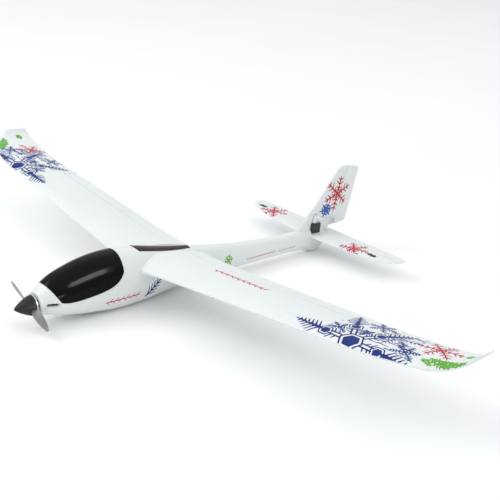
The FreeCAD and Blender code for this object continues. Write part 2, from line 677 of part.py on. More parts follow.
def build_wing():
    """Both wing panels with everything that is fixed in them or moves on them."""
    wing = wing_solid()
    hinge = aileron_hinge(wing)
    panel, blade = aileron_pair(wing, hinge)
    lean = V(1, 0, DIHEDRAL).normalize()
    # a flat carbon strip follows the dihedral a third of the way back
    spar = box((0, SPAR_LENGTH), (-SPAR_WIDTH / 2, SPAR_WIDTH / 2), (-SPAR_T / 2, SPAR_T / 2))
    spar.rotate(V(0, 0, 0), V(0, 1, 0), -math.degrees(math.atan2(lean.z, lean.x)))
    spar.translate(SPAR_ROOT)
    servo = aileron_servo(hinge)
    arm = aileron_arm(hinge)
    low = AILERON_DROP - WING_ARM
    sweep = hinge.box((SERVO_ALONG - 3.4, SERVO_ALONG + 0.6), (SERVO_AFT - 9.0, SERVO_AFT + 9.0),
                      (-20.0, AILERON_DROP + 3.4))
    boss_way = hinge.drum((SERVO_ALONG - 3.4, SERVO_ALONG + 1.0), SERVO_AFT, AILERON_DROP, 3.4)
    open_below = servo.copy()
    open_below.translate(hinge.up * -6.0)
    panel = largest(panel.cut(fused([servo, open_below, sweep, boss_way])).cut(spar))
    # a moulded groove carries the hinge line on to the root
    sunk = wing.copy()
    sunk.translate(V(0, 0, -GROOVE))
    crease = hinge.box((ROOT_S + 4.0 - AILERON_S[0], -GAP), (-GROOVE / 2, GROOVE / 2), (-30.0, 30.0))
    panel = largest(panel.cut(crease.cut(sunk)))
    horn = aileron_horn(hinge, blade)
    mid = SERVO_ALONG - 1.9
    wire = pushrod(hinge, -1.0, (mid, SERVO_AFT, low), (mid, 0.0, -WING_ARM))
    pieces = {"wing": panel, "aileron": blade, "wing_spar": spar, "aileron_servo": servo,
              "aileron_servo_arm": arm, "aileron_horn": horn, "aileron_pushrod": wire}
    for name, shape in pieces.items():
        emit(name + "_port", shape)
        emit(name + "_starboard", mirrored(shape))
    return wing, spar


def build_joiner(spar):
    """The block inside the pod that both carbon strips plug into."""
    block = box((-9.6, 9.6), (26.0, 40.0), (0.6, 9.4))
    emit("wing_joiner", block.cut(fused([spar, mirrored(spar)])))
    return block


def build_tail():
    """Fin, rudder, tailplane and elevator with their servos and linkages."""
    stab = stabiliser_solid()
    hinge = elevator_hinge(stab)
    fixed, elevator = elevator_pair(stab, hinge)
    line = RudderFrame()
    fin, rudder = rudder_pair(fin_solid(), line)
    thick, length, height = SERVO
    servo_y = (TAIL_SERVO_Y, TAIL_SERVO_Y + length)
    servo_z = (TAIL_SERVO_Z, TAIL_SERVO_Z + height)
    half_strip = STAB_SPAR_LENGTH / 2
    strip = box((-half_strip, half_strip), (305.0, 308.0), (STAB_Z - 0.5, STAB_Z + 0.5))
    emit("stabiliser_spar", strip)

    # rudder: servo on the port side, output upwards along the hinge line's direction
    case = box((SERVO_X, SERVO_X + thick), servo_y, servo_z)
    out_x, out_aft, out_along = RUDDER_OUTPUT
    boss = line.drum(out_x, out_aft, (out_along - 11.0, out_along - 8.5), 2.2)
    rudder_servo = fused([case, boss])
    arm_span = (out_along + 0.2, out_along + 1.6)
    arm = fused([line.drum(out_x, out_aft, (out_along - 8.2, arm_span[1]), 2.5),
                 line.block([(out_x, out_aft - 1.9), (out_x + ARM, out_aft - 1.5),
                             (out_x + ARM, out_aft + 1.5), (out_x, out_aft + 1.9)],
                            arm_span[0], arm_span[1]),
                 line.drum(out_x + ARM, out_aft, arm_span, 1.5)])
    arm = arm.cut(line.drum(out_x + ARM, out_aft, (arm_span[0] - 1, arm_span[1] + 1), WIRE_R + 0.06))
    plate = line.block([(1.0, 5.0), (1.0, 14.0), (3.6, 14.0), (ARM + 1.4, 1.4), (ARM + 1.4, -1.4),
                        (ARM - 1.5, -1.4)], arm_span[0], arm_span[1])
    foot = line.block([(0.5, 6.0), (0.5, 15.0), (4.0, 15.0), (4.0, 6.0)],
                      arm_span[0] - 2.6, arm_span[1] + 2.6)
    horn = plate.fuse(foot).cut(rudder)
    horn = largest(horn.cut(line.drum(ARM, 0.0, (arm_span[0] - 1, arm_span[1] + 1), WIRE_R + 0.06)))
    wire_z = arm_span[1] + 1.0
    tips = [(out_x + ARM, out_aft), (ARM, 0.0)]
    ends = [line.at(x, aft, wire_z) for x, aft in tips]
    cranks = [line.drum(x, aft, (arm_span[0] - 0.8, wire_z), WIRE_R) for x, aft in tips]
    wire = fused([rod(ends[0], ends[1], WIRE_R)] + cranks + [Part.makeSphere(WIRE_R, e) for e in ends])
    for name, shape in (("rudder_servo_arm", arm), ("rudder_horn", horn), ("rudder_pushrod", wire)):
        emit(name, shape)

    # elevator: servo on the starboard side, output outwards along the hinge line
    elevator_case = box((-SERVO_X - thick, -SERVO_X), servo_y, servo_z)
    out_y, out_z = ELEVATOR_OUTPUT
    aft, up = out_y - ELEVATOR_HINGE_Y, out_z - hinge.start.z
    face_x = -SERVO_X - thick
    middle = -hinge.start.x

    def span(low, high):
        return (low + middle, high + middle)

    elevator_boss = hinge.drum(span(face_x - 1.4, face_x), aft, up, 2.2)
    elevator_servo = fused([elevator_case, elevator_boss])
    arm_x = (face_x - 3.0, face_x - 1.6)
    elevator_arm = lever(hinge, span(arm_x[0], arm_x[1]), aft, up, 2.5, (0.0, ARM), 1.5)
    arm_hole = hinge.drum(span(arm_x[0] - 1, arm_x[1] + 1), aft, up + ARM, WIRE_R + 0.06)
    elevator_arm = elevator_arm.cut(arm_hole)
    horn_profile = [(3.0, -0.6), (13.0, -0.6), (12.0, 2.2), (1.6, ARM + 1.4),
                    (-1.4, ARM + 1.4), (-1.4, ARM - 1.6)]
    elevator_plate = hinge.block(horn_profile, arm_x[0] + middle, arm_x[1] + middle)
    elevator_foot = hinge.box(span(arm_x[0] - 2.6, arm_x[1] + 2.6), (4.0, 12.0), (-2.0, 1.0))
    elevator_horn = elevator_plate.fuse(elevator_foot).cut(elevator)
    elevator_hole = hinge.drum(span(arm_x[0] - 1, arm_x[1] + 1), 0.0, ARM, WIRE_R + 0.06)
    elevator_horn = largest(elevator_horn.cut(elevator_hole))
    mid = (arm_x[0] + arm_x[1]) / 2 + middle
    elevator_wire = pushrod(hinge, -1.0, (mid, aft, up + ARM), (mid, 0.0, ARM))
    for name, shape in (("elevator_servo_arm", elevator_arm), ("elevator_horn", elevator_horn),
                        ("elevator_pushrod", elevator_wire)):
        emit(name, shape)

    boss_way = line.drum(out_x, out_aft, (out_along - 9.0, out_along + 4.0), 3.2)
    fin = largest(fin.cut(fused([rudder_servo, elevator_servo, boss_way])).cut(fixed))
    emit("fin", fin)
    emit("rudder", rudder)
    emit("stabiliser", largest(fixed.cut(fused([strip, case, elevator_case]))))
    emit("elevator", elevator)
    emit("rudder_servo", rudder_servo)
    emit("elevator_servo", elevator_servo)
    return fused([fin, rudder_servo, elevator_servo]), fixed


def magnets():
    """A disc inside the canopy's rear wall, facing one let into the fuselage."""
    hood_y = CANOPY_REAR_TOP[0] - CANOPY_WALL
    body_y = CANOPY_REAR_TOP[0] + CANOPY_GAP
    on_hood = rod(V(0, hood_y - MAGNET_T, MAGNET_Z), V(0, hood_y, MAGNET_Z), MAGNET_R)
    on_body = rod(V(0, body_y + 0.05, MAGNET_Z), V(0, body_y + MAGNET_T, MAGNET_Z), MAGNET_R)
    return on_hood, on_body


def build():
    os.makedirs("parts", exist_ok=True)
    outer = fuselage_solid()
    cavity = fuselage_solid(WALL, CAVITY_Y)
    hood = canopy(outer)
    hood_magnet, body_magnet = magnets()
    emit("canopy", hood)
    emit("canopy_magnet", hood_magnet)
    emit("fuselage_magnet", body_magnet)

    wing, spar = build_wing()
    joiner = build_joiner(spar)
    tail_pieces, fixed = build_tail()
    cover = build_cover(outer)
    emit("wing_cover_strip", cover)

    build_power_unit(cavity)
    build_bay(cavity)

    under = box((-60, 60), (-200, 400), (-80, GROUND_Z))
    nose_bore = rod(V(0, -125, MOTOR_Z), V(0, -100, MOTOR_Z), 9.4)
    elevator_room = box((-20, 20), (ELEVATOR_HINGE_Y - 2.0, 400), (STAB_Z - 10.0, RUDDER_FOOT_Z - 0.2))
    hood_way = box((-60, 60), (CANOPY_REAR_TOP[0] - 20, CANOPY_REAR_TOP[0] + 4.0), (40, 90))
    body = outer.cut(under).cut(canopy_prism(CANOPY_GAP)).cut(cavity)
    body = body.cut(fused([nose_bore, cooling_slots()]))
    body = body.cut(wing).cut(mirrored(wing)).cut(cover)
    body = body.cut(tail_pieces).cut(elevator_room).cut(hood_way)
    bulkhead_y = (CANOPY_REAR_TOP[0] + CANOPY_GAP, CANOPY_REAR_TOP[0] + BULKHEAD_T)
    bulkhead = outer.common(box((-40, 40), bulkhead_y, (6.0, 60)))
    body = body.fuse(bulkhead.cut(cover)).cut(body_magnet).cut(joiner)
    port = body.common(box((0, 80), (-200, 400), (-80, 120))).cut(fixed)
    starboard = body.common(box((-80, 0), (-200, 400), (-80, 120))).cut(fixed)
    emit("fuselage_port_shell", largest(port))
    emit("fuselage_starboard_shell", largest(starboard))


build()
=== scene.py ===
import json
import math
import random

import bmesh
import bpy
from mathutils import Matrix, Vector
from mathutils.bvhtree import BVHTree


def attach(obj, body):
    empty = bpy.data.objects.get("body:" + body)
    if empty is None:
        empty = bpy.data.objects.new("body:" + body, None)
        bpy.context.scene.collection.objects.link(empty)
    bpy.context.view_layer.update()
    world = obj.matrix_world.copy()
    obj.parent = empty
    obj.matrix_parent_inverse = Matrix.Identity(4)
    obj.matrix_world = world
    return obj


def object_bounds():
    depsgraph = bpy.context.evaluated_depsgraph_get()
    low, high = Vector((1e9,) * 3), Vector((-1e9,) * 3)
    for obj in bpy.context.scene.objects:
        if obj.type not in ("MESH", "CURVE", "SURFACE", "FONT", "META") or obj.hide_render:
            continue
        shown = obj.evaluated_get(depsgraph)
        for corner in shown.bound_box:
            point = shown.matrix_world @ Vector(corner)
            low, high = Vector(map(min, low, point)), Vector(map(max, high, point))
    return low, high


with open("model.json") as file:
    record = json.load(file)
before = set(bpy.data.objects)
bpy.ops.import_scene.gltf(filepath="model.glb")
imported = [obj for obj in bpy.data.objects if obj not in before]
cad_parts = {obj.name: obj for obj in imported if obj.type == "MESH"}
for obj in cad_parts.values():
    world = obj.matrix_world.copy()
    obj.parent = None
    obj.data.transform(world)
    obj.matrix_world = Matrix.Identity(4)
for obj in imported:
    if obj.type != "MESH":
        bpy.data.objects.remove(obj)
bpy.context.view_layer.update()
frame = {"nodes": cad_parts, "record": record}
nodes = frame["nodes"]
bodies = frame["record"]["behaviour"]["bodies"]
body_of_node = {n: body for body, members in bodies.items() for n in members}
MM = 0.001

# The drawings of the part count from the middle of the wing joint: y aft, z up.
DATUM = Vector((0, -0.1188, 0.040))


# ---------------------------------------------------------------- shader helpers
class Shader:
    """A principled surface with its node tree."""

    def __init__(self, name):
        self.mat = bpy.data.materials.new(name)
        self.mat.use_nodes = True
        self.tree = self.mat.node_tree
        self.bsdf = self.tree.nodes["Principled BSDF"]
        self.coords = self.node("ShaderNodeTexCoord").outputs["Object"]

    def node(self, kind, **settings):
        made = self.tree.nodes.new(kind)
        for key, value in settings.items():
            setattr(made, key, value)
        return made

    def link(self, source, target):
        self.tree.links.new(source, target)

    def set(self, **values):
        for key, value in values.items():
            self.bsdf.inputs[key.replace("_", " ")].default_value = value

    def noise(self, scale, detail=3.0, stretch=(1, 1, 1), rough=0.5):
        mapping = self.node("ShaderNodeMapping")
        mapping.inputs["Scale"].default_value = stretch
        self.link(self.coords, mapping.inputs["Vector"])
        made = self.node("ShaderNodeTexNoise")
        made.inputs["Scale"].default_value = scale
        made.inputs["Detail"].default_value = detail
        made.inputs["Roughness"].default_value = rough
        self.link(mapping.outputs["Vector"], made.inputs["Vector"])
        return made.outputs["Fac"]

    def cells(self, scale, feature="DISTANCE_TO_EDGE"):
        made = self.node("ShaderNodeTexVoronoi", feature=feature)
        made.inputs["Scale"].default_value = scale
        self.link(self.coords, made.inputs["Vector"])
        return made.outputs["Distance"]

    def ramp(self, value, low, high, a, b):
        """Colour a below low, b above high."""
        made = self.node("ShaderNodeValToRGB")
        made.color_ramp.elements[0].position = low
        made.color_ramp.elements[0].color = (*a, 1)
        made.color_ramp.elements[1].position = high
        made.color_ramp.elements[1].color = (*b, 1)
        self.link(value, made.inputs["Fac"])
        return made.outputs["Color"]

    def span(self, value, low, high, a, b):
        made = self.node("ShaderNodeMapRange")
        for key, number in zip(("From Min", "From Max", "To Min", "To Max"), (low, high, a, b)):
            made.inputs[key].default_value = number
        self.link(value, made.inputs["Value"])
        return made.outputs["Result"]

    def multiply(self, first, second):
        made = self.node("ShaderNodeMix", data_type="RGBA", blend_type="MULTIPLY")
        made.inputs["Factor"].default_value = 1.0
        self.link(first, made.inputs["A"])
        self.link(second, made.inputs["B"])
        return made.outputs["Result"]

    def bump(self, value, strength, distance, under=None):
        made = self.node("ShaderNodeBump")
        made.inputs["Strength"].default_value = strength
        made.inputs["Distance"].default_value = distance
        self.link(value, made.inputs["Height"])
        if under is not None:
            self.link(under, made.inputs["Normal"])
        return made.outputs["Normal"]

    def finish(self, colour=None, rough=None, normal=None):
        for key, source in (("Base Color", colour), ("Roughness", rough), ("Normal", normal)):
            if source is not None:
                self.link(source, self.bsdf.inputs[key])
        return self.mat


def foam():
    """Moulded bead foam: a smooth skin with the outlines of the beads just showing."""
    s = Shader("white_foam")
    beads = s.cells(330.0)
    edge = s.ramp(beads, 0.0, 0.10, (0.93, 0.935, 0.94), (1.0, 1.0, 1.0))
    broad = s.ramp(s.noise(9.0, 2.0), 0.35, 0.65, (0.765, 0.79, 0.787), (0.79, 0.81, 0.807))
    grain = s.noise(2600.0, 2.0)
    s.set(IOR=1.45, Subsurface_Weight=0.08, Subsurface_Scale=0.004, Coat_Weight=0.10,
          Coat_Roughness=0.35)
    s.bsdf.inputs["Subsurface Radius"].default_value = (1.0, 1.0, 1.0)
    normal = s.bump(grain, 0.06, 0.0001)
    normal = s.bump(s.span(beads, 0.0, 0.16, 0.0, 1.0), 0.16, 0.00022, normal)
    return s.finish(s.multiply(broad, edge), s.span(s.noise(60.0), 0.3, 0.7, 0.44, 0.56), normal)


def plastic(name, low, high, rough, scale=120.0, bump=0.03, coat=0.0, specular=0.5, depth=0.0001):
    """Moulded or painted plastic with faint mottling and grain."""
    s = Shader(name)
    s.set(Coat_Weight=coat, Coat_Roughness=0.06)
    s.bsdf.inputs["Specular IOR Level"].default_value = specular
    colour = s.ramp(s.noise(scale), 0.35, 0.65, low, high)
    grain = s.noise(2200.0, 2.0)
    return s.finish(colour, s.span(s.noise(scale * 0.6), 0.3, 0.7, rough * 0.85, rough * 1.15),
                    s.bump(grain, bump, depth))


def metal(name, low, high, rough, stretch=(1, 1, 1), scale=900.0):
    s = Shader(name)
    s.set(Metallic=1.0)
    grain = s.noise(scale, 3.0, stretch)
    colour = s.ramp(grain, 0.3, 0.7, low, high)
    return s.finish(colour, s.span(grain, 0.3, 0.7, rough * 0.8, rough * 1.25),
                    s.bump(grain, 0.08, 0.00005))


def plywood():
    s = Shader("plywood")
    rings = s.noise(70.0, 5.0, (1.0, 0.08, 1.0), 0.6)
    colour = s.ramp(rings, 0.35, 0.65, (0.42, 0.25, 0.11), (0.62, 0.43, 0.23))
    s.set(Roughness=0.6)
    return s.finish(colour, None, s.bump(rings, 0.2, 0.0002))


def webbing():
    s = Shader("strap_webbing")
    wave = s.node("ShaderNodeTexWave", bands_direction="Y")
    wave.inputs["Scale"].default_value = 420.0
    wave.inputs["Distortion"].default_value = 1.0
    s.link(s.coords, wave.inputs["Vector"])
    colour = s.ramp(wave.outputs["Fac"], 0.2, 0.8, (0.012, 0.012, 0.013), (0.045, 0.045, 0.048))
    s.set(Roughness=0.85)
    return s.finish(colour, None, s.bump(wave.outputs["Fac"], 0.4, 0.0002))


def carbon():
    s = Shader("carbon")
    wave = s.node("ShaderNodeTexWave", bands_direction="DIAGONAL")
    wave.inputs["Scale"].default_value = 160.0
    s.link(s.coords, wave.inputs["Vector"])
    colour = s.ramp(wave.outputs["Fac"], 0.4, 0.6, (0.012, 0.012, 0.014), (0.05, 0.05, 0.055))
    s.set(Roughness=0.3, Coat_Weight=0.5, Coat_Roughness=0.1)
    return s.finish(colour, None, s.bump(wave.outputs["Fac"], 0.1, 0.0001))


def print_ink(name, low, high):
    """Ink on foam: a little worn, and the beads show through."""
    s = Shader(name)
    beads = s.cells(330.0)
    colour = s.ramp(s.noise(240.0, 4.0, rough=0.6), 0.3, 0.62, low, high)
    edge = s.ramp(beads, 0.0, 0.10, (0.88, 0.88, 0.88), (1, 1, 1))
    s.bsdf.inputs["Specular IOR Level"].default_value = 0.25
    return s.finish(s.multiply(colour, edge), s.span(s.noise(50.0), 0.3, 0.7, 0.4, 0.5),
                    s.bump(s.span(beads, 0.0, 0.16, 0.0, 1.0), 0.14, 0.0002))


MATERIALS = {
    "white_foam": foam(),
    "black_gloss": plastic("black_gloss", (0.0015, 0.0018, 0.0018), (0.003, 0.003, 0.003), 0.13,
                           30.0, 0.004, 0.0, 0.10),
    "smoke_gloss": plastic("smoke_gloss", (0.020, 0.016, 0.014), (0.034, 0.027, 0.023), 0.16,
                           60.0, 0.006, 0.0, 0.12),
    "black_satin": plastic("black_satin", (0.006, 0.006, 0.0065), (0.012, 0.012, 0.013), 0.34,
                           90.0, 0.03, 0.0, 0.35),
    "grey_plastic": plastic("grey_plastic", (0.20, 0.195, 0.19), (0.27, 0.26, 0.255), 0.34,
                            90.0, 0.02, 0.1, 0.5),
    "bare_metal": metal("bare_metal", (0.55, 0.55, 0.56), (0.72, 0.72, 0.73), 0.32,
                        (1.0, 12.0, 1.0), 300.0),
    "steel": metal("steel", (0.48, 0.48, 0.50), (0.66, 0.66, 0.68), 0.25),
    "motor_copper": metal("motor_copper", (0.55, 0.24, 0.10), (0.75, 0.38, 0.20), 0.38,
                          (1.0, 6.0, 1.0), 700.0),
    "plywood": plywood(),
    "battery_wrap": plastic("battery_wrap", (0.05, 0.10, 0.34), (0.07, 0.14, 0.42), 0.28,
                            60.0, 0.05, 0.4, 0.5, 0.0002),
    "strap_webbing": webbing(),
    "circuit_board": plastic("circuit_board", (0.008, 0.10, 0.045), (0.015, 0.16, 0.07), 0.38,
                             700.0, 0.2, 0.3, 0.5),
    "carbon": carbon(),
    "servo_case": plastic("servo_case", (0.016, 0.016, 0.018), (0.03, 0.03, 0.033), 0.4,
                          150.0, 0.05, 0.0, 0.4),
    "white_nylon": plastic("white_nylon", (0.74, 0.75, 0.73), (0.80, 0.80, 0.78), 0.4,
                           150.0, 0.04, 0.0, 0.5),
}
INK = {
    "blue": print_ink("ink_blue", (0.002, 0.014, 0.15), (0.006, 0.028, 0.21)),
    "red": print_ink("ink_red", (0.42, 0.001, 0.012), (0.54, 0.006, 0.025)),
    "green": print_ink("ink_green", (0.07, 0.33, 0.012), (0.13, 0.45, 0.03)),
    "frost": print_ink("ink_frost", (0.006, 0.035, 0.19), (0.012, 0.055, 0.26)),
    "sky": print_ink("ink_sky", (0.025, 0.095, 0.34), (0.04, 0.14, 0.42)),
    "dark": print_ink("ink_dark", (0.015, 0.017, 0.018), (0.035, 0.037, 0.038)),
    "grey": print_ink("ink_grey", (0.22, 0.20, 0.20), (0.32, 0.29, 0.29)),
}

for part in frame["record"]["subparts"]:
    for face_slot in nodes[part["node"]].material_slots:
        face_slot.material = MATERIALS[part["material_slot"]]


# ---------------------------------------------------------------- printed graphics
def segment(x, y, ax, ay, bx, by, w0, w1):
    """Distance outside a stroke from a to b that is w0 wide at a and w1 at b."""
    dx, dy = bx - ax, by - ay
    t = max(0.0, min(1.0, ((x - ax) * dx + (y - ay) * dy) / (dx * dx + dy * dy)))
    return math.hypot(x - ax - t * dx, y - ay - t * dy) - (w0 + (w1 - w0) * t) / 2


def hexagon(x, y, r):
    """Distance outside a six-sided tile of inner radius r with a corner on the x axis."""
    a, b = abs(x), abs(y)
    return max(b, a * math.cos(math.pi / 6) + b * 0.5) - r


def folded(x, y):
    """One sixth of the plane, turned onto the x axis, upper half."""
    r, a = math.hypot(x, y), math.atan2(y, x)
    a = abs((a + math.pi / 6) % (math.pi / 3) - math.pi / 6)
    return r * math.cos(a), r * math.sin(a)


def flake(radius, width, twigs, core=0.0, ring=0.0, turn=0.0, tip=0.6):
    """A six-armed snow crystal. twigs are (place along the arm, length) as shares of radius."""

    def outside(x, y):
        c, s = math.cos(turn), math.sin(turn)
        x, y = folded(c * x + s * y, c * y - s * x)
        found = segment(x, y, 0.0, 0.0, radius, 0.0, width, width * tip)
        for place, length in twigs:
            px, reach = place * radius, length * radius
            found = min(found, segment(x, y, px, 0.0, px + reach * 0.5, reach * 0.87,
                                       width * 0.85, width * 0.5))
        if core:
            found = min(found, hexagon(x, y, core))
        if ring:
            found = min(found, abs(hexagon(x, y, ring)) - width * 0.32)
        return found

    return outside


def moved(shape, cx, cy, sx=1.0, sy=1.0):
    """The shape about another middle, stretched by sx and sy."""
    scale = min(abs(sx), abs(sy))
    return lambda x, y: shape((x - cx) / sx, (y - cy) / sy) * scale


def union(*shapes):
    return lambda x, y: min(s(x, y) for s in shapes)


def clipped(shape, *limits):
    """Keeps what is inside every limit too."""
    return lambda x, y: max(shape(x, y), *(limit(x, y) for limit in limits))


def strokes(lines):
    """A union of plain strokes (ax, ay, bx, by, width at a, width at b)."""
    return lambda x, y: min(segment(x, y, *line) for line in lines)


def contour(shape, x_span, y_span, step):
    """Points and faces of the area where shape is negative, on a grid cut along its edge."""
    columns = int((x_span[1] - x_span[0]) / step) + 1
    rows = int((y_span[1] - y_span[0]) / step) + 1
    value = [[shape(x_span[0] + i * step, y_span[0] + j * step) for j in range(rows)]
             for i in range(columns)]
    points, index, faces = [], {}, []

    def corner(i, j):
        if (i, j) not in index:
            index[i, j] = len(points)
            points.append((x_span[0] + i * step, y_span[0] + j * step))
        return index[i, j]

    def crossing(a, b):
        key = (a, b) if a < b else (b, a)
        if key not in index:
            (i, j), (k, m) = key
            t = value[i][j] / (value[i][j] - value[k][m])
            t = max(0.04, min(0.96, t))
            index[key] = len(points)
            points.append((x_span[0] + (i + (k - i) * t) * step,
                           y_span[0] + (j + (m - j) * t) * step))
        return index[key]

    for i in range(columns - 1):
        for j in range(rows - 1):
            around = [(i, j), (i + 1, j), (i + 1, j + 1), (i, j + 1)]
            inside = [value[a][b] < 0 for a, b in around]
            if not any(inside):
                continue
            face = []
            for k in range(4):
                if inside[k]:
                    face.append(corner(*around[k]))
                if inside[k] != inside[(k + 1) % 4]:
                    face.append(crossing(around[k], around[(k + 1) % 4]))
            faces.append(face)
    return points, faces


def surface_of(name):
    """The skin of a CAD node, to project onto."""
    mesh = nodes[name].data
    return BVHTree.FromPolygons([v.co.copy() for v in mesh.vertices],
                                [list(p.vertices) for p in mesh.polygons])


INK_ABOVE = 0.10 * MM
INK_BELOW = 0.06 * MM
CAST_FROM = 0.3           # metres in front of the point where a ray starts
CLEAR_OF = 0.2            # metres from the middle plane to a point in front of the skin
LEAST_FACING = 0.12       # below this a skin is too edge-on to print


def printed(name, node, ink, shape, x_span, y_span, place, toward, step=0.6):
    """A thin closed film of ink laid on a CAD node. place(u, v) is a point in front of it."""
    points, faces = contour(shape, x_span, y_span, step)
    skin = surface_of(node)
    toward = Vector(toward).normalized()
    top, bottom, keep = [], [], []
    for u, v in points:
        start = place(u, v) + DATUM
        hit, normal, _, _ = skin.ray_cast(start - toward * CAST_FROM, toward)
        good = hit is not None and normal.dot(toward) < -LEAST_FACING
        if not good:
            hit, normal = start, -toward
        top.append(hit + normal * INK_ABOVE)
        bottom.append(hit - normal * INK_BELOW)
        keep.append(good)
    faces = [f for f in faces if all(keep[i] for i in f)]
    if not faces:
        return
    seen = {}
    for f in faces:
        for a, b in zip(f, f[1:] + f[:1]):
            seen[a, b] = seen.get((a, b), 0) + 1
    walls = [(a, b) for a, b in seen if (b, a) not in seen]
    count = len(points)
    polygons = [list(f) for f in faces] + [[i + count for i in reversed(f)] for f in faces]
    polygons += [[b, a, a + count, b + count] for a, b in walls]
    used = sorted({i for p in polygons for i in p})
    number = {i: k for k, i in enumerate(used)}
    both = top + bottom
    mesh = bpy.data.meshes.new(name)
    mesh.from_pydata([both[i] for i in used], [], [[number[i] for i in p] for p in polygons])
    mesh.validate()
    made = bmesh.new()
    made.from_mesh(mesh)
    bmesh.ops.recalc_face_normals(made, faces=made.faces)
    made.to_mesh(mesh)
    made.free()
    piece = bpy.data.objects.new(name, mesh)
    bpy.context.scene.collection.objects.link(piece)
    mesh.materials.append(INK[ink])
    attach(piece, body_of_node[node])


def wing_top(u, v):
    return Vector((u * MM, v * MM, CLEAR_OF))


DOWN = (0, 0, -1)
RED_TWIGS = [(0.30, 0.22), (0.55, 0.30), (0.80, 0.20)]
FINE_TWIGS = [(0.28, 0.18), (0.45, 0.26), (0.62, 0.24), (0.79, 0.16)]


AILERON_INNER, AILERON_OUTER = 120.0, 318.0
HINGE_INNER_Y, HINGE_OUTER_Y = 73.0, 76.0


def hinge_y(x):
    """Where the aileron hinge line runs, aft of the wing joint, in mm."""
    rise = (HINGE_OUTER_Y - HINGE_INNER_Y) / (AILERON_OUTER - AILERON_INNER)
    return HINGE_INNER_Y + (abs(x) - AILERON_INNER) * rise


def crystal_arm(x, y):
    """One arm of the big crystal, drawn along x: an open stem, a tile and a barbed point."""
    found = min(segment(x, y, 12.0, 2.3, 24.5, 2.3, 1.7, 1.7), hexagon(x - 30.0, y, 4.2),
                abs(hexagon(x - 30.0, y, 6.3)) - 0.6,
                segment(x, y, 36.5, 0.0, 66.0, 0.0, 4.2, 1.4))
    barbs = ((38.0, 12.0), (42.5, 11.0), (47.0, 9.5), (51.5, 7.8), (56.0, 6.0), (60.5, 4.0))
    for at, reach in barbs:
        found = min(found, segment(x, y, at, 0.0, at + 0.5 * reach, 0.87 * reach, 2.3, 0.8))
    for at, reach in ((15.5, 5.0), (20.5, 7.0)):
        found = min(found, segment(x, y, at, 2.1, at + 0.5 * reach, 2.1 + 0.87 * reach, 1.7, 1.2))
    return found


def crystal(x, y):
    """The blue crystal printed on each wing, about its middle tile."""
    found = min(hexagon(x, y, 7.6), abs(hexagon(x, y, 10.6)) - 0.8)
    return min(found, crystal_arm(*folded(x, y)))


def frost(seed, flip):
    """Paler small crystals, rime and specks around the big one."""
    draw = random.Random(seed)
    small = [moved(flake(radius, 1.4, FINE_TWIGS, 2.4, 4.6, turn), x * flip, y)
             for x, y, radius, turn in ((27.0, 37.0, 22.0, 0.3), (-1.0, 50.0, 15.0, 0.1),
                                        (48.0, 16.0, 15.0, 0.45), (-24.0, 13.0, 13.0, 0.5),
                                        (1.0, 22.0, 9.0, 0.2))]
    rime = []
    for _ in range(22):
        x, y = draw.uniform(8, 50) * flip, draw.uniform(6, 56)
        reach = draw.uniform(5.0, 15.0) * flip
        rime.append((x, y, x + reach, y + draw.uniform(-0.6, 0.6), 1.5, 0.4))
    for _ in range(26):
        x, y = draw.uniform(-34, 54), draw.uniform(4, 62)
        rime.append((x, y, x + draw.uniform(0.5, 1.8), y + 0.1, 1.2, 0.9))
    return union(*small, strokes(rime))


def foliage(seed, half_x, half_y, count, leaf, shear=0.0):
    """A spray of small leaves packed in an oval that may lean along the wing's edge."""
    draw = random.Random(seed)
    leaves = []
    while len(leaves) < count:
        x, y = draw.uniform(-1, 1), draw.uniform(-1, 1)
        if x * x + y * y > 1:
            continue
        a = draw.uniform(0, 2 * math.pi)
        length = leaf * draw.uniform(1.2, 2.4)
        px, py = x * half_x, y * half_y + shear * x * half_x
        leaves.append((px, py, px + length * math.cos(a), py + length * math.sin(a),
                       leaf, leaf * 0.4))
    return strokes(leaves)


def twig(length, height, count):
    """A decorative frosted twig: one straight stem with even barbs on alternate sides."""
    pitch = length / count
    width = height * 0.16
    lines = [(0.0, 0.0, length, 0.0, width, width)]
    for k in range(count):
        x = (k + 0.35) * pitch
        reach = height * (0.5 if k % 2 else -0.5)
        lines.append((x, 0.0, x + abs(reach) * 0.9, reach, width * 0.85, width * 0.5))
    return strokes(lines)


CRYSTAL_AT = (287.0, 31.0)
CRYSTAL_REACH = 68.0
